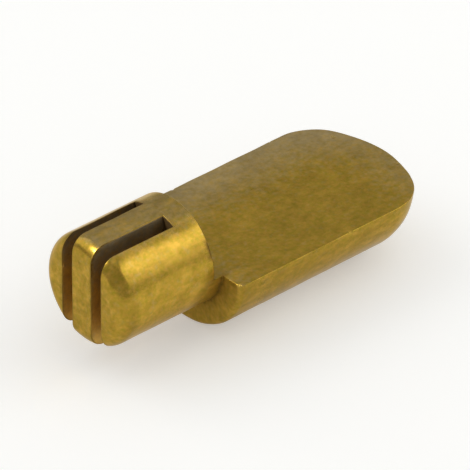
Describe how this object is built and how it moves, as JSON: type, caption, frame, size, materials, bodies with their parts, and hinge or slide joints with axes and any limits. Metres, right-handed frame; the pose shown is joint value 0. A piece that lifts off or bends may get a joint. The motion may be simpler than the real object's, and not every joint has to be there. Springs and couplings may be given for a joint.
{
  "type": "shelf support pin",
  "caption": "Split round pin with a dome-ended, half-round head whose milled flat carries the edge of a shelf.",
  "frame": {"origin": "on the pin's axis, in the plane of the shoulder that stops against the cabinet", "axes": "+X runs out along the head to its tip, away from the cabinet, and +Z stands up from the flat that carries the shelf"},
  "size_m": [0.023, 0.01, 0.0084],
  "materials": {
    "brass": "tumbled and dulled, with a soft shine"
  },
  "bodies": {
    "root": {"shelf_pin": "brass"}
  },
  "joints": []
}
